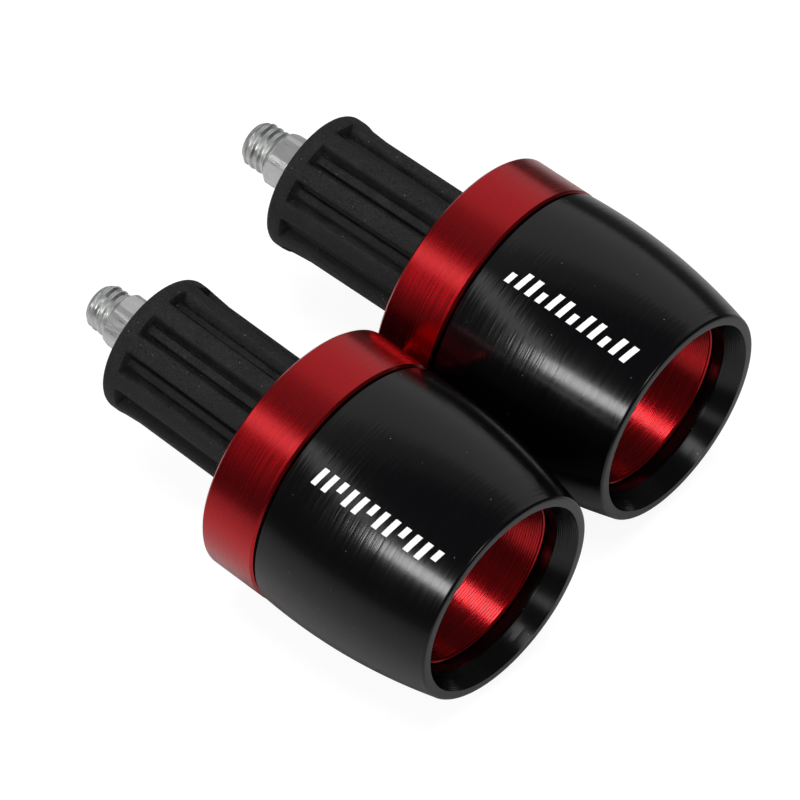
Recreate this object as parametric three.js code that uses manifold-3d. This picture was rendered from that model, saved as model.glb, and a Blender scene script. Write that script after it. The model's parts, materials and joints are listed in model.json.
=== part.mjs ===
// A pair of handlebar bar ends: expanding rubber plugs with anodised aluminium end weights.
// Millimetres, +Z up. The two units lie side by side on a flat surface. Each unit's axis is
// horizontal and runs from its threaded end, which goes into the handlebar, to its open cup.
// In a unit's own frame X is measured along that axis from the flange ring's bar-side face.
import * as THREE from "three";
import { mergeVertices } from "three/addons/utils/BufferGeometryUtils.js";
import Module from "manifold-3d";

// Clearance between neighbouring pieces
const GAP = 0.3;

// Core: flange ring, spigot and thin-walled cup turned from one bar
const RING_R = 16.4;
const RING_LENGTH = 8.0;
const RING_CHAMFER = 0.3;
const CUP_OUTER_R = 12.05;
const CUP_INNER_R = 11.25;
const CUP_RIM_X = 28.7;
const CUP_RIM_CHAMFER = 0.15;
const CUP_FLOOR_X = 4.2;
const SPIGOT_R = 5.6;
const SPIGOT_LENGTH = 3.0;
const BOLT_HOLE_R = 3.3;
const RUBBER_SEAT_R = 9.2;
const RUBBER_SEAT_DEPTH = 0.5;

// Outer sleeve: a barrel that slides over the cup
const SLEEVE_START_X = RING_LENGTH + GAP;
const SLEEVE_END_X = 32.8;
const SLEEVE_START_R = 16.35;
const SLEEVE_MAX_R = 16.5;
const SLEEVE_MAX_AT = 0.2;
const SLEEVE_END_R = 14.0;
const SLEEVE_START_CHAMFER = 0.3;
const SLEEVE_LIP_ROUND = 0.7;
const SLEEVE_BORE_R = CUP_OUTER_R + GAP;
const LAND_R = 11.5;
const LAND_END_X = 30.4;
const MOUTH_R = 12.65;

// Rubber expander
const RUBBER_END_X = -23.3;
const RUBBER_FLANGE_R = 8.9;
const RUBBER_FLANGE_LENGTH = 2.5;
const RUBBER_FLANGE_ROUND = 0.7;
const RUBBER_BODY_R = 8.6;
const RUBBER_BORE_R = 3.4;
const GROOVES = 10;
const GROOVE_WIDTH = 2.5;
const GROOVE_DEPTH = 1.4;

// M6 clamp bolt with a hexagon socket, drawn at the root of its thread
const BOLT_SHANK_R = 2.4;
const BOLT_UNDER_HEAD_X = 7.8;
const BOLT_LENGTH = 40.0;
const BOLT_TIP_CHAMFER = 0.6;
const BOLT_HEAD_R = 5.0;
const BOLT_HEAD_HEIGHT = 6.0;
const BOLT_HEAD_CHAMFER = 0.5;
const SOCKET_ACROSS_FLATS = 5.0;
const SOCKET_DEPTH = 3.2;

// Washers and nut
const HEAD_WASHER_R = 9.0;
const HEAD_WASHER_THICKNESS = 1.2;
const LOCK_WASHER_R = 5.3;
const LOCK_WASHER_THICKNESS = 1.5;
const THRUST_WASHER_R = 6.0;
const THRUST_WASHER_THICKNESS = 1.2;
const WASHER_HOLE_R = 3.2;
const NUT_ACROSS_FLATS = 6.6;
const NUT_CORNER_R = 3.55;
const NUT_LENGTH = 4.8;
const NUT_CHAMFER = 0.3;
const NUT_BORE_R = 2.7;

// Where each unit lies, with its turns in degrees: yaw about +Z, the others about its axis.
// A unit rests on the widest line of its sleeve.
const AXIS_HEIGHT = SLEEVE_MAX_R;
const UNITS = [
  { name: "left", x: 1.77, y: -16.9, yaw: 0, grooveAngle: 25, nutAngle: 21 },
  { name: "right", x: -2.33, y: 16.25, yaw: 2.6, grooveAngle: 16, nutAngle: 47 },
];

// Facets around a turned piece
const WIDE_FACETS = 36;
const SMALL_FACETS = 24;
const ROUND_STEPS = 3;
const BARREL_STEPS = 10;

const RED = { color: 0x9c0f17, roughness: 0.32, metalness: 0.9 };
const BLACK = { color: 0x0b0b0d, roughness: 0.28, metalness: 0.6 };
const RUBBER = { color: 0x1a1a1b, roughness: 0.9, metalness: 0.0 };
const ZINC = { color: 0xb6bab4, roughness: 0.35, metalness: 1.0 };
const STEEL = { color: 0xc2c0c8, roughness: 0.4, metalness: 1.0 };

const DEG = Math.PI / 180;

const wasm = await Module();
wasm.setup();

function toSolid(geometry) {
  const bare = geometry.index ? geometry.toNonIndexed() : geometry.clone();
  bare.deleteAttribute("normal");
  bare.deleteAttribute("uv");
  const merged = mergeVertices(bare, 1e-5);
  const mesh = new wasm.Mesh({
    numProp: 3,
    vertProperties: new Float32Array(merged.attributes.position.array),
    triVerts: new Uint32Array(merged.index.array),
  });
  return new wasm.Manifold(mesh);
}

function toGeometry(solid) {
  const mesh = solid.getMesh();
  const geometry = new THREE.BufferGeometry();
  geometry.setAttribute("position", new THREE.BufferAttribute(mesh.vertProperties, 3));
  geometry.setIndex(new THREE.BufferAttribute(mesh.triVerts, 1));
  geometry.computeVertexNormals();
  return geometry;
}

// Turns a closed outline of [x, radius] points about the X axis. The outline runs with its
// material on the left; it is reversed here because the lathe takes radius as its first axis.
function turned(outline, facets) {
  const points = outline.map(([x, r]) => new THREE.Vector2(r, x)).reverse();
  points.push(points[0].clone());
  const geometry = new THREE.LatheGeometry(points, facets);
  geometry.rotateZ(-Math.PI / 2);
  return geometry;
}

// A hexagonal bar along X, centred on the axis
function hexBar(acrossFlats, startX, length, angle = 0) {
  const cornerR = acrossFlats / Math.sqrt(3);
  const geometry = new THREE.CylinderGeometry(cornerR, cornerR, length, 6);
  geometry.rotateZ(-Math.PI / 2);
  geometry.rotateX(angle * DEG);
  geometry.translate(startX + length / 2, 0, 0);
  return geometry;
}

function ringOutline(startX, thickness, innerR, outerR) {
  return [
    [startX, innerR],
    [startX + thickness, innerR],
    [startX + thickness, outerR],
    [startX, outerR],
  ];
}

function coreCup() {
  const outline = [
    [-SPIGOT_LENGTH, BOLT_HOLE_R],
    [CUP_FLOOR_X, BOLT_HOLE_R],
    [CUP_FLOOR_X, CUP_INNER_R],
    [CUP_RIM_X - CUP_RIM_CHAMFER, CUP_INNER_R],
    [CUP_RIM_X, CUP_INNER_R + CUP_RIM_CHAMFER],
    [CUP_RIM_X, CUP_OUTER_R],
    [RING_LENGTH, CUP_OUTER_R],
    [RING_LENGTH, RING_R - RING_CHAMFER / 2],
    [RING_LENGTH - RING_CHAMFER / 2, RING_R],
    [RING_CHAMFER, RING_R],
    [0, RING_R - RING_CHAMFER],
    [0, RUBBER_SEAT_R],
    [RUBBER_SEAT_DEPTH, RUBBER_SEAT_R],
    [RUBBER_SEAT_DEPTH, SPIGOT_R],
    [-SPIGOT_LENGTH, SPIGOT_R],
  ];
  return turned(outline, WIDE_FACETS);
}

// Barrel radius at a share of the sleeve's length: a parabola up to the widest line and
// another one down to the lip
function barrelRadius(share) {
  if (share < SLEEVE_MAX_AT) {
    const before = 1 - share / SLEEVE_MAX_AT;
    return SLEEVE_MAX_R - (SLEEVE_MAX_R - SLEEVE_START_R) * before * before;
  }
  const after = (share - SLEEVE_MAX_AT) / (1 - SLEEVE_MAX_AT);
  return SLEEVE_MAX_R - (SLEEVE_MAX_R - SLEEVE_END_R) * after * after;
}

function sleeveOutside() {
  const startX = SLEEVE_START_X + SLEEVE_START_CHAMFER;
  const endX = SLEEVE_END_X - SLEEVE_LIP_ROUND;
  const points = [];
  for (let i = 0; i <= ROUND_STEPS; i += 1) {
    const angle = (i / ROUND_STEPS) * (Math.PI / 2);
    const x = endX + SLEEVE_LIP_ROUND * Math.cos(angle);
    points.push([x, SLEEVE_END_R - SLEEVE_LIP_ROUND * (1 - Math.sin(angle))]);
  }
  for (let i = BARREL_STEPS - 1; i >= 0; i -= 1) {
    const share = i / BARREL_STEPS;
    points.push([startX + (endX - startX) * share, barrelRadius(share)]);
  }
  return points;
}

function outerSleeve() {
  const outline = [
    [SLEEVE_START_X, SLEEVE_BORE_R],
    [CUP_RIM_X + GAP, SLEEVE_BORE_R],
    [CUP_RIM_X + GAP, LAND_R],
    [LAND_END_X, LAND_R],
    [SLEEVE_END_X, MOUTH_R],
    ...sleeveOutside(),
    [SLEEVE_START_X, SLEEVE_START_R - SLEEVE_START_CHAMFER],
  ];
  return turned(outline, WIDE_FACETS);
}

function rubberExpander(unit) {
  const flangeEndX = RUBBER_END_X + RUBBER_FLANGE_LENGTH;
  const seatX = RUBBER_SEAT_DEPTH - GAP;
  const outline = [
    [RUBBER_END_X + THRUST_WASHER_THICKNESS + GAP, RUBBER_BORE_R],
    [-SPIGOT_LENGTH - GAP, RUBBER_BORE_R],
    [-SPIGOT_LENGTH - GAP, SPIGOT_R + GAP],
    [seatX, SPIGOT_R + GAP],
    [seatX, RUBBER_BODY_R],
    [flangeEndX, RUBBER_BODY_R],
    [flangeEndX - GAP, RUBBER_FLANGE_R],
    [RUBBER_END_X + RUBBER_FLANGE_ROUND, RUBBER_FLANGE_R],
    [RUBBER_END_X + RUBBER_FLANGE_ROUND * 0.3, RUBBER_FLANGE_R - RUBBER_FLANGE_ROUND * 0.3],
    [RUBBER_END_X, RUBBER_FLANGE_R - RUBBER_FLANGE_ROUND],
    [RUBBER_END_X, THRUST_WASHER_R + GAP],
    [RUBBER_END_X + THRUST_WASHER_THICKNESS + GAP, THRUST_WASHER_R + GAP],
  ];
  const cutterHeight = 2 * GROOVE_DEPTH;
  const cutterLength = -flangeEndX + 1;
  let solid = toSolid(turned(outline, WIDE_FACETS));
  for (let i = 0; i < GROOVES; i += 1) {
    const cutter = new THREE.BoxGeometry(cutterLength, GROOVE_WIDTH, cutterHeight);
    cutter.translate(flangeEndX + cutterLength / 2, 0, RUBBER_BODY_R - GROOVE_DEPTH + cutterHeight / 2);
    cutter.rotateX(((i * 360) / GROOVES + unit.grooveAngle) * DEG);
    solid = solid.subtract(toSolid(cutter));
  }
  return toGeometry(solid);
}

function clampBolt() {
  const tipX = BOLT_UNDER_HEAD_X - BOLT_LENGTH;
  const headX = BOLT_UNDER_HEAD_X + BOLT_HEAD_HEIGHT;
  const outline = [
    [tipX, 0],
    [headX, 0],
    [headX, BOLT_HEAD_R - BOLT_HEAD_CHAMFER],
    [headX - BOLT_HEAD_CHAMFER, BOLT_HEAD_R],
    [BOLT_UNDER_HEAD_X, BOLT_HEAD_R],
    [BOLT_UNDER_HEAD_X, BOLT_SHANK_R],
    [tipX + BOLT_TIP_CHAMFER, BOLT_SHANK_R],
    [tipX, BOLT_SHANK_R - BOLT_TIP_CHAMFER],
  ];
  const socket = hexBar(SOCKET_ACROSS_FLATS, headX - SOCKET_DEPTH, SOCKET_DEPTH + 1);
  return toGeometry(toSolid(turned(outline, SMALL_FACETS)).subtract(toSolid(socket)));
}

function headWasher() {
  const startX = CUP_FLOOR_X + GAP;
  const outline = ringOutline(startX, HEAD_WASHER_THICKNESS, WASHER_HOLE_R, HEAD_WASHER_R);
  return turned(outline, SMALL_FACETS);
}

function lockWasher() {
  const startX = BOLT_UNDER_HEAD_X - GAP - LOCK_WASHER_THICKNESS;
  const outline = ringOutline(startX, LOCK_WASHER_THICKNESS, WASHER_HOLE_R, LOCK_WASHER_R);
  return turned(outline, SMALL_FACETS);
}

function thrustWasher() {
  const startX = RUBBER_END_X;
  const outline = ringOutline(startX, THRUST_WASHER_THICKNESS, WASHER_HOLE_R, THRUST_WASHER_R);
  return turned(outline, SMALL_FACETS);
}

// The hexagon's corners are turned down to a cone at both ends
function hexNut(unit) {
  const startX = RUBBER_END_X - GAP - NUT_LENGTH;
  const endX = startX + NUT_LENGTH;
  const chamferR = NUT_CORNER_R - NUT_CHAMFER;
  const envelope = [
    [startX, NUT_BORE_R],
    [endX, NUT_BORE_R],
    [endX, chamferR],
    [endX - NUT_CHAMFER, NUT_CORNER_R],
    [startX + NUT_CHAMFER, NUT_CORNER_R],
    [startX, chamferR],
  ];
  const bar = toSolid(hexBar(NUT_ACROSS_FLATS, startX - 1, NUT_LENGTH + 2, unit.nutAngle));
  return toGeometry(toSolid(turned(envelope, SMALL_FACETS)).intersect(bar));
}

const PIECES = [
  ["core_cup", coreCup, RED],
  ["outer_sleeve", outerSleeve, BLACK],
  ["rubber_expander", rubberExpander, RUBBER],
  ["clamp_bolt", clampBolt, ZINC],
  ["head_washer", headWasher, STEEL],
  ["lock_washer", lockWasher, STEEL],
  ["thrust_washer", thrustWasher, STEEL],
  ["hex_nut", hexNut, STEEL],
];

function barEnd(unit) {
  const group = new THREE.Group();
  for (const [name, makeGeometry, look] of PIECES) {
    const mesh = new THREE.Mesh(makeGeometry(unit), new THREE.MeshStandardMaterial(look));
    mesh.name = `${unit.name}_${name}`;
    group.add(mesh);
  }
  group.position.set(unit.x, unit.y, AXIS_HEIGHT);
  group.rotation.z = unit.yaw * DEG;
  return group;
}

const barEnds = new THREE.Group();
for (const unit of UNITS) {
  barEnds.add(barEnd(unit));
}

export default barEnds;
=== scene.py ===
"""A pair of handlebar end plugs, lying side by side on a pale floor.

Each unit is built in its own frame, in millimetres: X runs along its axis, from the face of
the flange ring that meets the handlebar towards the open cup, and Z points up. Angles round
the axis are in degrees from +Z towards -Y.
"""

import json
import math

import bmesh
import bpy
from mathutils import Matrix, Vector


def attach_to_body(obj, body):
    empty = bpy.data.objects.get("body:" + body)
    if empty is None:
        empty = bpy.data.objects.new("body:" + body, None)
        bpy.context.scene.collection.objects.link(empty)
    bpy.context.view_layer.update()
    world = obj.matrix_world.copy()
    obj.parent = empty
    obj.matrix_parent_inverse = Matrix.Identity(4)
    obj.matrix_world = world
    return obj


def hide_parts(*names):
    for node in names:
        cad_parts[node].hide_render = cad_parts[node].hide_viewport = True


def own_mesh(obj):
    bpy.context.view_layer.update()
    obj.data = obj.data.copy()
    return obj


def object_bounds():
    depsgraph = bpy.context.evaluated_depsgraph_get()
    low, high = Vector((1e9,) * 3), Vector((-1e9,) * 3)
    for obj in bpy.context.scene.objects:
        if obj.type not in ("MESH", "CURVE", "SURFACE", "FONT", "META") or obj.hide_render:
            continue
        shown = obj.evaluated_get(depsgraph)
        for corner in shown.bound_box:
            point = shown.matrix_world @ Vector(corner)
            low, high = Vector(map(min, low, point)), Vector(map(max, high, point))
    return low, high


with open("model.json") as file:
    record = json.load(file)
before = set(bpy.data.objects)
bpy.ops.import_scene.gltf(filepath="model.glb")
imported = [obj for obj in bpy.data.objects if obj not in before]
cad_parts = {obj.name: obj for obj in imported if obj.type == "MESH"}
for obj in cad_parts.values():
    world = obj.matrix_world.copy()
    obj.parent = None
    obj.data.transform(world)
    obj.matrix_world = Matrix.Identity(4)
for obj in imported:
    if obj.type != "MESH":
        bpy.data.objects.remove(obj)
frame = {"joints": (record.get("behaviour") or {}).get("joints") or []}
cad_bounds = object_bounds()

MM = 0.001

# Steps round the axis, in degrees, of the turned pieces and of the fasteners
PLAIN_STEP = 1.5
FASTENER_STEP = 2.5
PLAIN_ANGLES = [i * PLAIN_STEP for i in range(round(360 / PLAIN_STEP))]
FASTENER_ANGLES = [i * FASTENER_STEP for i in range(round(360 / FASTENER_STEP))]

# Core: flange ring, spigot and cup
RING_R = 16.4
RING_LENGTH = 8.0
RING_CHAMFER = 0.28
CUP_OUTER_R = 12.05
CUP_INNER_R = 11.25
CUP_RIM_X = 28.7
CUP_RIM_CHAMFER = 0.13
CUP_FLOOR_X = 4.2
CUP_FLOOR_FILLET = 0.8
CUP_SMOOTH_NEAR_FLOOR = 0.3
CUP_SMOOTH_NEAR_RIM = 0.2
SPIGOT_R = 5.6
SPIGOT_LENGTH = 3.0
BOLT_HOLE_R = 3.3
RUBBER_SEAT_R = 9.2
RUBBER_SEAT_DEPTH = 0.5

# Outer sleeve
SLEEVE_START_X = 8.3
SLEEVE_END_X = 32.8
SLEEVE_START_R = 16.35
SLEEVE_MAX_R = 16.5
SLEEVE_MAX_AT = 0.2
SLEEVE_END_R = 14.0
SLEEVE_START_CHAMFER = 0.25
SLEEVE_LIP_ROUND = 0.42
SLEEVE_BORE_R = 12.35
LAND_R = 11.5
LAND_START_X = 29.0
LAND_END_X = 30.4
MOUTH_R = 12.7
BARREL_STEPS = 48

# Pitch and depth of the turning marks in the mouth. The cup's are with the units.
MOUTH_TOOL_MARKS = (0.2, 0.012)

# The rise and fall of one turning mark, in equal steps
TOOL_MARK_RIDGE = (0.0, 0.5, 1.0, 0.5)

# Rubber expander
RUBBER_END_X = -23.3
RUBBER_SEAT_X = 0.2
RUBBER_FLANGE_R = 8.9
RUBBER_FLANGE_LENGTH = 2.5
RUBBER_FLANGE_ROUND = 0.8
RUBBER_STEPS = 16
RIB_R = 8.6
RIBS = 10
RIB_HALF_ANGLE = 9.3
RECESS_FLOOR_R = 6.9
STRIP_R = 7.55
STRIP_HALF_ANGLE = 4.4
RUBBER_BORE_R = 3.4
SPIGOT_GAP = 0.3
WASHER_RECESS_R = 6.3
WASHER_RECESS_DEPTH = 1.5
WASHER_RECESS_CHAMFER = 0.2

# The round on a rib's edge: degrees past its half angle, and the drop below its top
RIB_EDGE = [(-2.6, 0.02), (-1.6, 0.10), (-0.8, 0.26), (-0.2, 0.52), (0.15, 0.85)]

# A rib's foot: degrees past its half angle, and the height over the recess's floor
RIB_FOOT = [(0.5, 0.25), (1.1, 0.0)]

# The low strip in each recess. Its foot: degrees before its side, and the height over the
# recess's floor. Its edge: degrees past its side, and the drop below its top.
STRIP_FOOT = [(0.8, 0.0), (0.3, 0.2)]
STRIP_EDGE = [(0.0, 0.15), (0.9, 0.0)]

# The ribs' ends on the flange ring: length of the round, and its drop
RIB_END_LENGTH = 0.2
RIB_END_DROP = 0.15

# The ribs flare before the flange: distance from it, and rise of their tops
RIB_FLARE = [(2.4, 0.03), (1.2, 0.12)]

# The recesses close there: distance, rise of the tops, and height over the floor
POCKET_END = [(0.3, 0.2, 0.25), (0.0, 0.22, 0.9), (-0.1, 0.24, 1.6)]

# Only a rib's top, down to this depth, takes part in the flare
RIB_TOP_DEPTH = 0.4

# The flange's back edge: distance past its start, and drop below its radius
RUBBER_FLANGE_BACK = [(0.3, 0.06), (0.8, 0.0)]

# Clamp bolt
THREAD_CREST_R = 2.94
THREAD_ROOT_R = 2.66
THREAD_PITCH = 1.0
THREADED_LENGTH = 16.0
THREAD_RINGS_A_TURN = 14
THREAD_RUNOUT = 1.0
SHANK_R = 2.6
SHANK_FILLET = 0.3
UNDER_HEAD_X = 7.8
BOLT_LENGTH = 40.0
HEAD_R = 5.0
HEAD_HEIGHT = 6.0
HEAD_ROUND = 0.6
HEAD_EDGE_DROP = 0.2
KNURL_DEPTH = 0.12
KNURL_FADE = 0.1
KNURL_START = 0.4
KNURL_BELOW_TOP = 1.0
SOCKET_ACROSS_FLATS = 5.0
SOCKET_DEPTH = 3.2
SOCKET_POINT_DEPTH = 0.6
SOCKET_CHAMFER = 0.25

# Shares of the pitch that a thread's flat crest and its two flanks take
THREAD_CREST_SHARE = 0.2
THREAD_FLANKS_SHARE = 0.62

# The tip's cone cuts the crests. Drops are below the thread's root.
TIP_FACE_DROP = 0.75
TIP_EDGE_DROP = 0.48
TIP_EDGE_LENGTH = 0.06
TIP_CONE_DROP = 0.45
TIP_CONE_SLOPE = 0.75
THREAD_BEHIND_TIP = 0.15

# A hexagon's width across corners over that across flats
HEXAGON_CORNER_RATIO = 1.155

# Nut and washers
NUT_ACROSS_FLATS = 6.6
NUT_CORNER_R = 3.55
NUT_LENGTH = 4.8
NUT_BORE_R = 2.96
NUT_GAP = 0.3
NUT_CHAMFER = 0.45
NUT_CHAMFER_SLOPE = 0.8
NUT_CHAMFER_STEPS = 6

# The chamfers of the nut's bore at its two ends, as (length, height)
NUT_BORE_OUTER_CHAMFER = (0.2, 0.12)
NUT_BORE_INNER_CHAMFER = (0.1, 0.1)

WASHER_HOLE_R = 3.2
WASHER_EDGE = 0.2
HEAD_WASHER_R = 9.0
HEAD_WASHER_X = (4.5, 5.7)
LOCK_WASHER_R = 5.3
LOCK_WASHER_X = (6.05, 7.45)
LOCK_WASHER_EDGE = 0.1
LOCK_WASHER_STEP = 0.35
LOCK_WASHER_CUT = 12.0
LOCK_WASHER_SIDES = 90
THRUST_WASHER_R = 6.0
THRUST_WASHER_X = (-23.3, -22.1)

# Printed mark: a plain row of slanted bars, every third one short
MARK_MIDDLE_X = 20.7
MARK_BARS = 12
MARK_LENGTH = 18.5
MARK_HEIGHT = 2.4
MARK_SHORT_TOP = 0.1
MARK_SLANT = 0.55
MARK_BAR_WIDTH = 0.75
MARK_STEPS = 6
PRINT_THICKNESS = 0.03
PRINT_SINK = 0.01

# What differs between the two units. Angles are round the unit's axis. A bolt's shift is
# along it, and tool marks are the pitch and depth of those in the cup.
UNITS = [
    {"name": "left", "rib_angle": 7.0, "bolt_shift": 0.2, "nut_angle": 21.0,
     "thread_angle": 60.0, "mark_angle": 37.0, "mark_turned": True,
     "tool_marks": (0.34, 0.11)},
    {"name": "right", "rib_angle": -1.0, "bolt_shift": -0.35, "nut_angle": 47.0,
     "thread_angle": 200.0, "mark_angle": 23.0, "mark_turned": False,
     "tool_marks": (0.24, 0.08)},
]

# Floor, in metres. It lies a hair below the part, and darkens between two distances from
# its middle.
FLOOR_HALF_SIZE = 3.0
FLOOR_DROP = 0.00005
FLOOR_FADE = (0.045, 0.15)
FLOOR_NEAR = (0.43, 0.43, 0.43)
FLOOR_FAR = (0.05, 0.05, 0.05)

# The floor's own glow: its share of what the camera sees, and its strength
FLOOR_GLOW = 0.66
FLOOR_GLOW_STRENGTH = 1.4

# The world's light on the pieces, and what the camera sees of it
WORLD_LIGHT = (0.06, 0.06, 0.063)
WORLD_SEEN = (0.95, 0.95, 0.95)

# Camera: angles in degrees, the lens in millimetres, and lengths in metres. The aim is from
# the middle of the part.
CAMERA_AZIMUTH = 39.84
CAMERA_ELEVATION = 49.19
CAMERA_ROLL = 3.70
CAMERA_LENS = 542.6
CAMERA_DISTANCE = 1.4124
CAMERA_AIM = Vector((0.00535, -0.00307, 0.0))


# ---------------------------------------------------------------- node materials

NOISE_BAND = (0.3, 0.7)
GREY_DUST = (0.20, 0.20, 0.20)
PALE_DUST = (0.22, 0.22, 0.22)


class Nodes:
    """A short way to write a material's node tree."""

    def __init__(self, name):
        self.material = bpy.data.materials.new(name)
        self.material.use_nodes = True
        self.tree = self.material.node_tree
        self.shader = self.tree.nodes["Principled BSDF"]

    def add(self, kind, inputs=(), **settings):
        node = self.tree.nodes.new(kind)
        for key, value in settings.items():
            setattr(node, key, value)
        for key, value in dict(inputs).items():
            if isinstance(value, bpy.types.NodeSocket):
                self.tree.links.new(value, node.inputs[key])
            else:
                node.inputs[key].default_value = value
        return node

    def place(self):
        return self.add("ShaderNodeTexCoord").outputs["Object"]

    def math(self, operation, a, b):
        return self.add("ShaderNodeMath", {0: a, 1: b}, operation=operation).outputs[0]

    def noise(self, scale, detail=2.0, roughness=0.5, place=None):
        inputs = {"Vector": place or self.place(), "Scale": scale, "Detail": detail,
                  "Roughness": roughness}
        return self.add("ShaderNodeTexNoise", inputs).outputs["Fac"]

    def stretched_noise(self, along, across, detail=2.0, roughness=0.5):
        """Noise with its own scale along the unit's axis and across it."""
        inputs = {"Vector": self.place(), "Scale": (along, across, across)}
        mapping = self.add("ShaderNodeMapping", inputs)
        return self.noise(1.0, detail, roughness, mapping.outputs["Vector"])

    def turned_noise(self, lines_per_mm, across=120.0):
        """Noise drawn out round the axis, so its rings fade in and out as cut ones do."""
        return self.stretched_noise(lines_per_mm / MM, across)

    def spread(self, value, low, high, to_low, to_high):
        inputs = {"Value": value, "From Min": low, "From Max": high,
                  "To Min": to_low, "To Max": to_high}
        return self.add("ShaderNodeMapRange", inputs).outputs["Result"]

    def rough(self, pattern, low, high):
        """Roughness that follows a noise pattern, whose values are mostly in NOISE_BAND."""
        return self.spread(pattern, *NOISE_BAND, low, high)

    def tint(self, factor, first, second):
        """Mixes two colours. The first may be a socket."""
        if not isinstance(first, bpy.types.NodeSocket):
            first = (*first, 1)
        inputs = {"Factor": factor, "A": first, "B": (*second, 1)}
        return self.add("ShaderNodeMix", inputs, data_type="RGBA").outputs["Result"]

    def dusted(self, colour, scale, size, dust):
        """Scatters tiny specks over a colour. Size is a share of the distance between them."""
        cells = self.add("ShaderNodeTexVoronoi", {"Vector": self.place(), "Scale": scale})
        specks = self.spread(cells.outputs["Distance"], size / 2, size, 1.0, 0.0)
        return self.tint(specks, colour, dust)

    def bump(self, height, depth, under=None):
        """Bumps of a depth in millimetres, on top of those of another bump node."""
        inputs = {"Height": height, "Distance": depth * MM}
        if under is not None:
            inputs["Normal"] = under
        return self.add("ShaderNodeBump", inputs).outputs["Normal"]

    def finish(self, links=(), **constants):
        for key, value in constants.items():
            self.shader.inputs[key.replace("_", " ")].default_value = value
        for key, socket in dict(links).items():
            self.tree.links.new(socket, self.shader.inputs[key])
        return self.material


def anodised_red():
    n = Nodes("anodised_red")
    rings = n.turned_noise(3.4)
    fine = n.turned_noise(8.0, across=60.0)
    clouds = n.noise(180.0, detail=3.0)
    colour = n.tint(clouds, (0.56, 0.004, 0.009), (0.66, 0.006, 0.013))
    rough = n.rough(fine, 0.20, 0.30)
    normal = n.bump(fine, 0.004, under=n.bump(rings, 0.005))
    return n.finish({"Base Color": colour, "Roughness": rough, "Normal": normal},
                    Metallic=1.0, Coat_Weight=0.5, Coat_Roughness=0.18)


def anodised_black():
    n = Nodes("anodised_black")
    rings = n.turned_noise(2.8)
    fine = n.turned_noise(7.0, across=60.0)
    clouds = n.noise(250.0, detail=3.0)
    base = n.tint(clouds, (0.0008, 0.0008, 0.0011), (0.0014, 0.0013, 0.0018))
    colour = n.dusted(base, scale=520.0, size=0.035, dust=GREY_DUST)
    rough = n.rough(fine, 0.15, 0.22)
    normal = n.bump(fine, 0.007, under=n.bump(rings, 0.022))
    return n.finish({"Base Color": colour, "Roughness": rough, "Normal": normal})


def black_rubber():
    n = Nodes("black_rubber")
    grain = n.noise(5200.0, detail=3.0, roughness=0.65)
    patches = n.noise(420.0, detail=4.0, roughness=0.6)
    grain_share = 0.7
    speckled = n.math("ADD", n.math("MULTIPLY", grain, grain_share),
                      n.math("MULTIPLY", patches, 1 - grain_share))
    paleness = n.spread(speckled, 0.38, 0.62, 0, 1)
    base = n.tint(paleness, (0.0, 0.0, 0.0), (0.0165, 0.0169, 0.0172))
    colour = n.dusted(base, scale=1000.0, size=0.06, dust=PALE_DUST)
    rough = n.rough(patches, 0.62, 0.78)
    normal = n.bump(grain, 0.12, under=n.bump(patches, 0.06))
    return n.finish({"Base Color": colour, "Roughness": rough, "Normal": normal})


def zinc_plated_steel():
    n = Nodes("zinc_plated_steel")
    patches = n.noise(900.0, detail=4.0, roughness=0.6)
    pits = n.noise(5000.0)
    colour = n.tint(patches, (0.74, 0.76, 0.74), (0.92, 0.94, 0.92))
    rough = n.rough(patches, 0.32, 0.52)
    normal = n.bump(pits, 0.008, under=n.bump(patches, 0.03))
    return n.finish({"Base Color": colour, "Roughness": rough, "Normal": normal},
                    Metallic=1.0)


def plain_steel():
    n = Nodes("plain_steel")
    drawn = n.stretched_noise(500.0, 6000.0, detail=3.0, roughness=0.6)
    patches = n.noise(700.0, detail=3.0)
    colour = n.tint(patches, (0.78, 0.78, 0.79), (0.93, 0.93, 0.94))
    rough = n.rough(drawn, 0.26, 0.44)
    normal = n.bump(drawn, 0.03)
    return n.finish({"Base Color": colour, "Roughness": rough, "Normal": normal},
                    Metallic=1.0)


def white_print():
    n = Nodes("white_print")
    speckle = n.noise(6000.0)
    colour = n.tint(speckle, (0.80, 0.80, 0.79), (0.92, 0.92, 0.91))
    rough = n.rough(speckle, 0.42, 0.6)
    normal = n.bump(speckle, 0.004)
    return n.finish({"Base Color": colour, "Roughness": rough, "Normal": normal})


def pale_floor():
    """A matt floor, darker away from the pair, with a glow of its own that only the camera
    sees and that washes out its shadows."""
    n = Nodes("pale_floor")
    far = n.add("ShaderNodeVectorMath", {0: n.place()}, operation="LENGTH").outputs["Value"]
    colour = n.tint(n.spread(far, *FLOOR_FADE, 0, 1), FLOOR_NEAR, FLOOR_FAR)
    grain = n.bump(n.noise(900.0, detail=3.0), 0.02)
    floor = n.finish({"Base Color": colour, "Normal": grain}, Roughness=0.9,
                     Specular_IOR_Level=0.1)
    glow = n.add("ShaderNodeEmission", {"Color": (1, 1, 1, 1), "Strength": FLOOR_GLOW_STRENGTH})
    seen = n.add("ShaderNodeLightPath").outputs["Is Camera Ray"]
    mix = n.add("ShaderNodeMixShader", {0: n.math("MULTIPLY", seen, FLOOR_GLOW),
                                        1: n.shader.outputs[0], 2: glow.outputs[0]})
    n.tree.links.new(mix.outputs[0], n.tree.nodes["Material Output"].inputs["Surface"])
    floor.cycles.emission_sampling = "NONE"
    return floor


# ---------------------------------------------------------------- turned shapes

def on_unit(x, angle, radius):
    """A point of the unit's frame, in metres."""
    a = math.radians(angle)
    return (x * MM, -radius * math.sin(a) * MM, radius * math.cos(a) * MM)


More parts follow.
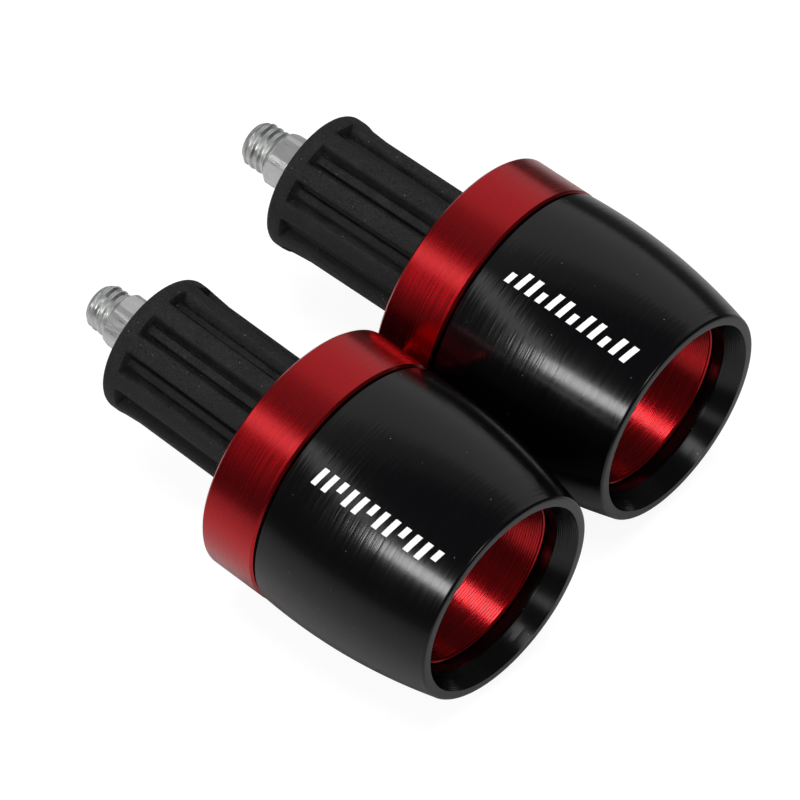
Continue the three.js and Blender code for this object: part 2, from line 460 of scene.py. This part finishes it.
def make_object(name, points, faces, place, material, sharp=32.0):
    mesh = bpy.data.meshes.new(name)
    mesh.from_pydata(points, [], faces)
    bm = bmesh.new()
    bm.from_mesh(mesh)
    bmesh.ops.remove_doubles(bm, verts=bm.verts, dist=1e-7)
    bmesh.ops.recalc_face_normals(bm, faces=bm.faces)
    bm.to_mesh(mesh)
    bm.free()
    mesh.shade_smooth()
    mesh.set_sharp_from_angle(angle=math.radians(sharp))
    mesh.materials.append(material)
    made = bpy.data.objects.new(name, mesh)
    bpy.context.scene.collection.objects.link(made)
    made.matrix_world = place
    return made


def turned(name, outline, angles, place, material, sharp=32.0):
    """Sweeps a closed outline of (x, radius) once round the axis. A radius may be a
    function of the angle."""
    points = []
    for x, radius in outline:
        for angle in angles:
            points.append(on_unit(x, angle, radius(angle) if callable(radius) else radius))
    count = len(angles)
    faces = []
    for i in range(len(outline)):
        here = i * count
        there = ((i + 1) % len(outline)) * count
        for k in range(count):
            after = (k + 1) % count
            faces.append((here + k, here + after, there + after, there + k))
    return make_object(name, points, faces, place, material, sharp)


def arc(centre_x, centre_r, radius, start, end, steps=5):
    """Points of a round in an outline. Angles are from +X towards larger radii."""
    points = []
    for i in range(steps + 1):
        a = math.radians(start + (end - start) * i / steps)
        points.append((centre_x + radius * math.cos(a), centre_r + radius * math.sin(a)))
    return points


def tool_marks(start, end, pitch, depth):
    """A bore with the fine ridges that a lathe tool leaves, between two (x, radius) points."""
    length, rise = end[0] - start[0], end[1] - start[1]
    phases = len(TOOL_MARK_RIDGE)
    steps = phases * round(abs(length) / pitch)
    return [(start[0] + length * i / steps,
             start[1] + rise * i / steps - depth * TOOL_MARK_RIDGE[i % phases])
            for i in range(steps + 1)]


def core_cup(unit, place, material):
    """The flange ring, its spigot and the thin cup with turning marks inside."""
    rim_inner_x = CUP_RIM_X - CUP_RIM_CHAMFER
    floor_end_x = CUP_FLOOR_X + CUP_FLOOR_FILLET
    marks_start = (floor_end_x + CUP_SMOOTH_NEAR_FLOOR, CUP_INNER_R)
    marks_end = (rim_inner_x - CUP_SMOOTH_NEAR_RIM, CUP_INNER_R)
    outline = [
        (-SPIGOT_LENGTH, BOLT_HOLE_R),
        (CUP_FLOOR_X, BOLT_HOLE_R),
        *arc(floor_end_x, CUP_INNER_R - CUP_FLOOR_FILLET, CUP_FLOOR_FILLET, 180, 90),
        *tool_marks(marks_start, marks_end, *unit["tool_marks"]),
        (rim_inner_x, CUP_INNER_R),
        (CUP_RIM_X, CUP_INNER_R + CUP_RIM_CHAMFER),
        (CUP_RIM_X, CUP_OUTER_R),
        (RING_LENGTH, CUP_OUTER_R),
        (RING_LENGTH, RING_R - RING_CHAMFER),
        (RING_LENGTH - RING_CHAMFER, RING_R),
        (RING_CHAMFER, RING_R),
        (0, RING_R - RING_CHAMFER),
        (0, RUBBER_SEAT_R),
        (RUBBER_SEAT_DEPTH, RUBBER_SEAT_R),
        (RUBBER_SEAT_DEPTH, SPIGOT_R),
        (-SPIGOT_LENGTH, SPIGOT_R),
    ]
    return turned(unit["name"] + "_core", outline, PLAIN_ANGLES, place, material)


def barrel_radius(x):
    """The sleeve's outside: one parabola up to its widest line and another down to the lip."""
    start_x = SLEEVE_START_X + SLEEVE_START_CHAMFER
    share = (x - start_x) / (SLEEVE_END_X - SLEEVE_LIP_ROUND - start_x)
    if share < SLEEVE_MAX_AT:
        before = 1 - share / SLEEVE_MAX_AT
        return SLEEVE_MAX_R - (SLEEVE_MAX_R - SLEEVE_START_R) * before ** 2
    after = (share - SLEEVE_MAX_AT) / (1 - SLEEVE_MAX_AT)
    return SLEEVE_MAX_R - (SLEEVE_MAX_R - SLEEVE_END_R) * after ** 2


def outer_sleeve(unit, place, material):
    """The barrel-shaped sleeve over the cup, with a land and a cone at its mouth."""
    start_x = SLEEVE_START_X + SLEEVE_START_CHAMFER
    lip_x = SLEEVE_END_X - SLEEVE_LIP_ROUND
    barrel = [start_x + (lip_x - start_x) * i / BARREL_STEPS for i in range(BARREL_STEPS)]
    cone = tool_marks((LAND_END_X, LAND_R), (SLEEVE_END_X, MOUTH_R), *MOUTH_TOOL_MARKS)
    outline = [
        (SLEEVE_START_X, SLEEVE_BORE_R),
        (LAND_START_X, SLEEVE_BORE_R),
        (LAND_START_X, LAND_R),
        *cone,
        *arc(lip_x, SLEEVE_END_R - SLEEVE_LIP_ROUND, SLEEVE_LIP_ROUND, 0, 90, steps=6),
        *[(x, barrel_radius(x)) for x in reversed(barrel)],
        (SLEEVE_START_X, SLEEVE_START_R - SLEEVE_START_CHAMFER),
    ]
    return turned(unit["name"] + "_sleeve", outline, PLAIN_ANGLES, place, material)


# ---------------------------------------------------------------- rubber expander

def rib_section():
    """One rib and half the recess on each side of it, as (angle, radius) pairs."""
    middle = 360 / RIBS / 2
    edge = RIB_HALF_ANGLE
    strip = middle - STRIP_HALF_ANGLE
    half = [
        (0.0, RIB_R),
        (edge / 2, RIB_R),
        *[(edge + past, RIB_R - drop) for past, drop in RIB_EDGE],
        *[(edge + past, RECESS_FLOOR_R + height) for past, height in RIB_FOOT],
        *[(strip - before, RECESS_FLOOR_R + height) for before, height in STRIP_FOOT],
        *[(strip + past, STRIP_R - drop) for past, drop in STRIP_EDGE],
        (middle, STRIP_R),
    ]
    mirrored = [(-angle, radius) for angle, radius in reversed(half[1:-1])]
    return mirrored + half


def rubber_expander(unit, place, material):
    """A ribbed rubber tube with an end flange and a recess for the washer."""
    section = []
    for i in range(RIBS):
        turn = i * 360 / RIBS + unit["rib_angle"]
        section += [(turn + angle, radius) for angle, radius in rib_section()]
    ribbed = dict(section)
    angles = [angle for angle, _ in section]
    flange_x = RUBBER_END_X + RUBBER_FLANGE_LENGTH
    recess_x = RUBBER_END_X + WASHER_RECESS_DEPTH

    def rib_ring(x, swell):
        """The ribs' section at x, with its tops raised by swell and the recesses left."""
        def radius(angle):
            r = ribbed[angle]
            return r + swell * max(0.0, (r - RIB_R + RIB_TOP_DEPTH) / RIB_TOP_DEPTH)
        return (x, radius)

    def pocket_end(x, swell, rise):
        """A rib ring whose recesses are filled up by rise above their floor."""
        def radius(angle):
            return max(RECESS_FLOOR_R + rise, rib_ring(x, swell)[1](angle))
        return (x, radius)

    step = (RUBBER_SEAT_X - flange_x) / RUBBER_STEPS
    spigot_end_x = -SPIGOT_LENGTH - SPIGOT_GAP
    spigot_r = SPIGOT_R + SPIGOT_GAP
    outline = [
        (recess_x, RUBBER_BORE_R),
        (spigot_end_x, RUBBER_BORE_R),
        (spigot_end_x, spigot_r),
        (RUBBER_SEAT_X, spigot_r),
        rib_ring(RUBBER_SEAT_X, -RIB_END_DROP),
        rib_ring(RUBBER_SEAT_X - RIB_END_LENGTH, 0.0),
        *[rib_ring(RUBBER_SEAT_X - step * i, 0.0) for i in range(1, RUBBER_STEPS - 1)],
        *[rib_ring(flange_x + before, swell) for before, swell in RIB_FLARE],
        *[pocket_end(flange_x + before, swell, rise) for before, swell, rise in POCKET_END],
        *[(flange_x - past, RUBBER_FLANGE_R - drop) for past, drop in RUBBER_FLANGE_BACK],
        *arc(RUBBER_END_X + RUBBER_FLANGE_ROUND, RUBBER_FLANGE_R - RUBBER_FLANGE_ROUND,
             RUBBER_FLANGE_ROUND, 90, 180, steps=6),
        (RUBBER_END_X, WASHER_RECESS_R + WASHER_RECESS_CHAMFER),
        (RUBBER_END_X + WASHER_RECESS_CHAMFER, WASHER_RECESS_R),
        (recess_x, WASHER_RECESS_R),
    ]
    return turned(unit["name"] + "_rubber", outline, angles, place, material, sharp=50.0)


# ---------------------------------------------------------------- fasteners

def thread_radius(x, angle, start_angle):
    """A right-hand thread's radius: flat crests and roots with straight flanks."""
    turn = (x / THREAD_PITCH - (angle - start_angle) / 360) % 1.0
    drop = min(1.0, max(0.0, (abs(2 * turn - 1) - THREAD_CREST_SHARE) / THREAD_FLANKS_SHARE))
    return THREAD_CREST_R - (THREAD_CREST_R - THREAD_ROOT_R) * drop


def hexagon_radius(across_flats, angle, corner_angle):
    """The distance from a hexagon's middle to its side, at an angle."""
    off_flat = (angle - corner_angle) % 60 - 30
    return across_flats / 2 / math.cos(math.radians(off_flat))


def clamp_bolt(unit, place, material):
    """A socket-head bolt with a threaded tip."""
    under_head_x = UNDER_HEAD_X + unit["bolt_shift"]
    tip_x = under_head_x - BOLT_LENGTH
    head_x = under_head_x + HEAD_HEIGHT
    socket_x = head_x - SOCKET_DEPTH
    socket_mouth_r = SOCKET_ACROSS_FLATS / 2 * HEXAGON_CORNER_RATIO + SOCKET_CHAMFER
    thread_x = tip_x + THREAD_BEHIND_TIP
    steps = round(THREADED_LENGTH / THREAD_PITCH * THREAD_RINGS_A_TURN)

    def thread_ring(x):
        cone_r = THREAD_ROOT_R - TIP_CONE_DROP + TIP_CONE_SLOPE * (x - tip_x)
        return (x, lambda a: min(cone_r, thread_radius(x, a, unit["thread_angle"])))

    def knurl(a):
        return HEAD_R - KNURL_DEPTH * (round(a / FASTENER_STEP) % 2)

    def socket(a):
        return hexagon_radius(SOCKET_ACROSS_FLATS, a, 0)

    outline = [
        (tip_x, 0.0),
        (tip_x, THREAD_ROOT_R - TIP_FACE_DROP),
        (tip_x + TIP_EDGE_LENGTH, THREAD_ROOT_R - TIP_EDGE_DROP),
        *[thread_ring(thread_x + THREADED_LENGTH * i / steps) for i in range(steps + 1)],
        (tip_x + THREADED_LENGTH + THREAD_RUNOUT, SHANK_R),
        (under_head_x - SHANK_FILLET, SHANK_R),
        (under_head_x, SHANK_R + SHANK_FILLET),
        (under_head_x, HEAD_R - HEAD_EDGE_DROP),
        (under_head_x + KNURL_START - KNURL_FADE, HEAD_R),
        (under_head_x + KNURL_START, knurl),
        (head_x - KNURL_BELOW_TOP, knurl),
        (head_x - KNURL_BELOW_TOP + KNURL_FADE, HEAD_R),
        *arc(head_x - HEAD_ROUND, HEAD_R - HEAD_ROUND, HEAD_ROUND, 90, 0, steps=4),
        (head_x, socket_mouth_r),
        (head_x - SOCKET_CHAMFER, socket),
        (socket_x, socket),
        (socket_x - SOCKET_POINT_DEPTH, 0.0),
    ]
    return turned(unit["name"] + "_bolt", outline, FASTENER_ANGLES, place, material)


def hex_nut(unit, place, material):
    end_x = RUBBER_END_X - NUT_GAP
    start_x = end_x - NUT_LENGTH
    outer_length, outer_height = NUT_BORE_OUTER_CHAMFER
    inner_length, inner_height = NUT_BORE_INNER_CHAMFER

    def nut_side(depth):
        """The hexagon, cut by the chamfer's cone at a depth below the nut's end."""
        cone_r = NUT_CORNER_R - max(0.0, NUT_CHAMFER - depth) * NUT_CHAMFER_SLOPE
        return lambda a: min(cone_r, hexagon_radius(NUT_ACROSS_FLATS, a, unit["nut_angle"]))

    depths = [NUT_CHAMFER * i / NUT_CHAMFER_STEPS for i in range(NUT_CHAMFER_STEPS + 1)]
    outline = [
        (start_x + outer_length, NUT_BORE_R),
        (end_x - inner_length, NUT_BORE_R),
        (end_x, NUT_BORE_R + inner_height),
        *[(end_x - depth, nut_side(depth)) for depth in depths],
        *[(start_x + depth, nut_side(depth)) for depth in reversed(depths)],
        (start_x, NUT_BORE_R + outer_height),
    ]
    return turned(unit["name"] + "_nut", outline, FASTENER_ANGLES, place, material, sharp=20.0)


def flat_washer(name, span, outer_r, place, material):
    start_x, end_x = span
    edge = WASHER_EDGE
    outline = [
        (start_x, WASHER_HOLE_R + edge),
        (start_x + edge, WASHER_HOLE_R),
        (end_x - edge, WASHER_HOLE_R),
        (end_x, WASHER_HOLE_R + edge),
        *arc(end_x - edge, outer_r - edge, edge, 0, 90, steps=3),
        *arc(start_x + edge, outer_r - edge, edge, 90, 180, steps=3),
    ]
    return turned(name, outline, FASTENER_ANGLES, place, material)


def lock_washer(unit, place, material):
    """A spring washer: a square section wound once round, with a small cut and a step."""
    start_x, end_x = LOCK_WASHER_X
    edge = LOCK_WASHER_EDGE
    thickness = end_x - start_x - LOCK_WASHER_STEP
    corners = [(0, WASHER_HOLE_R), (thickness, WASHER_HOLE_R),
               (thickness, LOCK_WASHER_R - edge), (thickness - edge, LOCK_WASHER_R),
               (edge, LOCK_WASHER_R), (0, LOCK_WASHER_R - edge)]
    points = []
    steps = LOCK_WASHER_SIDES
    for i in range(steps + 1):
        share = i / steps
        angle = LOCK_WASHER_CUT / 2 + (360 - LOCK_WASHER_CUT) * share
        for x, r in corners:
            points.append(on_unit(start_x + x + LOCK_WASHER_STEP * share, angle, r))
    count = len(corners)
    faces = [tuple(range(count)), tuple(steps * count + k for k in reversed(range(count)))]
    for i in range(steps):
        for k in range(count):
            after = (k + 1) % count
            here = i * count
            faces.append((here + k, here + after, here + count + after, here + count + k))
    return make_object(unit["name"] + "_lock_washer_spring", points, faces, place, material)


# ---------------------------------------------------------------- printed mark

def printed_mark(unit, place, material):
    """Slanted bars that follow the barrel, every third one short."""
    points = []
    faces = []
    pitch = MARK_LENGTH / MARK_BARS
    towards = -1 if unit["mark_turned"] else 1
    rows = MARK_STEPS

    def surface(along, across, lift):
        x = MARK_MIDDLE_X + towards * along
        radius = barrel_radius(x) + lift
        angle = unit["mark_angle"] - math.degrees(towards * across / radius)
        return on_unit(x, angle, radius)

    for bar in range(MARK_BARS):
        middle = (bar + 0.5) * pitch - MARK_LENGTH / 2
        low = -MARK_HEIGHT / 2
        high = MARK_HEIGHT / 2 if bar % 3 else MARK_HEIGHT * MARK_SHORT_TOP
        first = len(points)
        for i in range(rows + 1):
            across = low + (high - low) * i / rows
            lean = MARK_SLANT * across / MARK_HEIGHT
            for side in (-0.5, 0.5):
                for lift in (-PRINT_SINK, PRINT_THICKNESS):
                    points.append(surface(middle + lean + side * MARK_BAR_WIDTH, across, lift))
        for i in range(rows):
            a = first + 4 * i
            for k, m in ((0, 1), (1, 3), (3, 2), (2, 0)):
                faces.append((a + k, a + m, a + 4 + m, a + 4 + k))
        last = first + 4 * rows
        faces.append((first, first + 2, first + 3, first + 1))
        faces.append((last, last + 1, last + 3, last + 2))
    return make_object(unit["name"] + "_printed_bars", points, faces, place, material)


# ---------------------------------------------------------------- the two units

def joint_named(name):
    return next(j for j in frame["joints"] if j["name"] == name)


def unit_place(name):
    """The unit's frame in the row frame, from the joint that turns its bolt."""
    joint = joint_named(name + "_bolt_turn")
    along = -Vector(joint["axis"]).normalized()
    up = Vector((0, 0, 1))
    across = up.cross(along)
    turn = Matrix((along, across, up)).transposed().to_4x4()
    return Matrix.Translation(Vector(joint["pos_m"])) @ turn


def attach(piece, body, slot, *nodes):
    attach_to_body(piece, body)
    if nodes:
        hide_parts(*nodes)


def squash_rubber(piece):
    """Gives the rubber a mesh of its own; its shape is left as it is."""
    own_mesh(piece)


def build_unit(unit, looks):
    name = unit["name"]
    place = unit_place(name)
    housing = name + "_housing"
    attach(core_cup(unit, place, looks["anodised_red"]), housing, "anodised_red",
           name + "_core_cup")
    attach(outer_sleeve(unit, place, looks["anodised_black"]), housing, "anodised_black",
           name + "_outer_sleeve")
    attach(printed_mark(unit, place, looks["white_print"]), housing, "white_print")
    rubber = rubber_expander(unit, place, looks["black_rubber"])
    attach(rubber, housing, "black_rubber", name + "_rubber_expander")
    squash_rubber(rubber)
    attach(clamp_bolt(unit, place, looks["zinc_plated_steel"]), name + "_bolt",
           "zinc_plated_steel", name + "_clamp_bolt")
    attach(hex_nut(unit, place, looks["plain_steel"]), name + "_nut", "plain_steel",
           name + "_hex_nut")
    steel = looks["plain_steel"]
    attach(flat_washer(name + "_washer_under_head", HEAD_WASHER_X, HEAD_WASHER_R, place, steel),
           housing, "plain_steel", name + "_head_washer")
    attach(flat_washer(name + "_washer_on_rubber", THRUST_WASHER_X, THRUST_WASHER_R, place,
                       steel), name + "_nut", "plain_steel", name + "_thrust_washer")
    attach(lock_washer(unit, place, steel), name + "_bolt", "plain_steel",
           name + "_lock_washer")


# ---------------------------------------------------------------- floor, light and camera

def make_floor():
    size = FLOOR_HALF_SIZE
    mesh = bpy.data.meshes.new("floor")
    corners = [(-size, -size, 0), (size, -size, 0), (size, size, 0), (-size, size, 0)]
    mesh.from_pydata(corners, [], [(0, 1, 2, 3)])
    mesh.materials.append(pale_floor())
    floor = bpy.data.objects.new("floor", mesh)
    bpy.context.scene.collection.objects.link(floor)
    floor.location.z = cad_bounds[0].z - FLOOR_DROP


def direction(azimuth, elevation):
    """From the object towards a light or the camera. Azimuth 0 is on the -Y side."""
    a, e = math.radians(azimuth), math.radians(elevation)
    return Vector((math.sin(a) * math.cos(e), -math.cos(a) * math.cos(e), math.sin(e)))


def make_light(name, towards, distance, size, radiance, turn=0.0, glossy=True):
    """A rectangular softbox aimed at the object. Its energy follows its size, so that it
    looks as bright at any size. Towards points from the object to the light."""
    data = bpy.data.lights.new(name, "AREA")
    data.shape = "RECTANGLE"
    data.size, data.size_y = size
    data.energy = radiance * size[0] * size[1] * math.pi
    light = bpy.data.objects.new(name, data)
    bpy.context.scene.collection.objects.link(light)
    towards = Vector(towards)
    light.location = towards.normalized() * distance
    aim = (-towards).to_track_quat("-Z", "Y").to_matrix()
    light.rotation_euler = (aim @ Matrix.Rotation(math.radians(turn), 3, "Z")).to_euler()
    light.visible_camera = False
    light.visible_glossy = glossy


def make_lights():
    make_light("back_panel", (-0.70, 0.415, 0.58), distance=0.9, size=(2.4, 0.90),
               radiance=0.31)
    make_light("soft_edge", (-0.65, 0.385, 0.656), distance=0.92, size=(2.4, 1.27),
               radiance=0.14)
    make_light("key_lamp", (0.04, -0.835, 0.55), distance=2.0, size=(0.85, 0.36),
               radiance=12.0)
    make_light("key_fill", (0.43, -0.75, 0.5), distance=0.8, size=(0.2, 0.12),
               radiance=1.6)
    make_light("side_strip", (-0.38, -0.565, 0.745), distance=1.6, size=(1.0, 0.25),
               radiance=1.55, turn=-20)
    make_light("right_lamp", (0.66, -0.13, 0.73), distance=0.9, size=(0.24, 0.14),
               radiance=7.0)
    make_light("overhead_wash", (0, 0, 1), distance=0.9, size=(0.7, 0.7),
               radiance=5.5, glossy=False)


def make_world():
    """A dim world that the camera sees as a pale backdrop."""
    world = bpy.data.worlds.new("studio")
    world.use_nodes = True
    tree = world.node_tree
    background = tree.nodes["Background"]
    rays = tree.nodes.new("ShaderNodeLightPath")
    mix = tree.nodes.new("ShaderNodeMix")
    mix.data_type = "RGBA"
    mix.inputs["A"].default_value = (*WORLD_LIGHT, 1)
    mix.inputs["B"].default_value = (*WORLD_SEEN, 1)
    tree.links.new(rays.outputs["Is Camera Ray"], mix.inputs["Factor"])
    tree.links.new(mix.outputs["Result"], background.inputs["Color"])
    bpy.context.scene.world = world


def make_camera():
    data = bpy.data.cameras.new("camera")
    data.lens = CAMERA_LENS
    data.clip_end = 20.0
    camera = bpy.data.objects.new("camera", data)
    bpy.context.scene.collection.objects.link(camera)
    back = direction(CAMERA_AZIMUTH, CAMERA_ELEVATION)
    aim = (cad_bounds[0] + cad_bounds[1]) / 2 + CAMERA_AIM
    camera.location = aim + back * CAMERA_DISTANCE
    turn = (-back).to_track_quat("-Z", "Y").to_matrix()
    roll = Matrix.Rotation(math.radians(CAMERA_ROLL), 3, "Z")
    camera.rotation_euler = (turn @ roll).to_euler()
    bpy.context.scene.camera = camera


looks = {make.__name__: make() for make in (anodised_red, anodised_black, black_rubber,
                                            zinc_plated_steel, plain_steel, white_print)}
for unit in UNITS:
    build_unit(unit, looks)
make_floor()
make_lights()
make_world()
make_camera()
bpy.context.scene.view_settings.view_transform = "Standard"
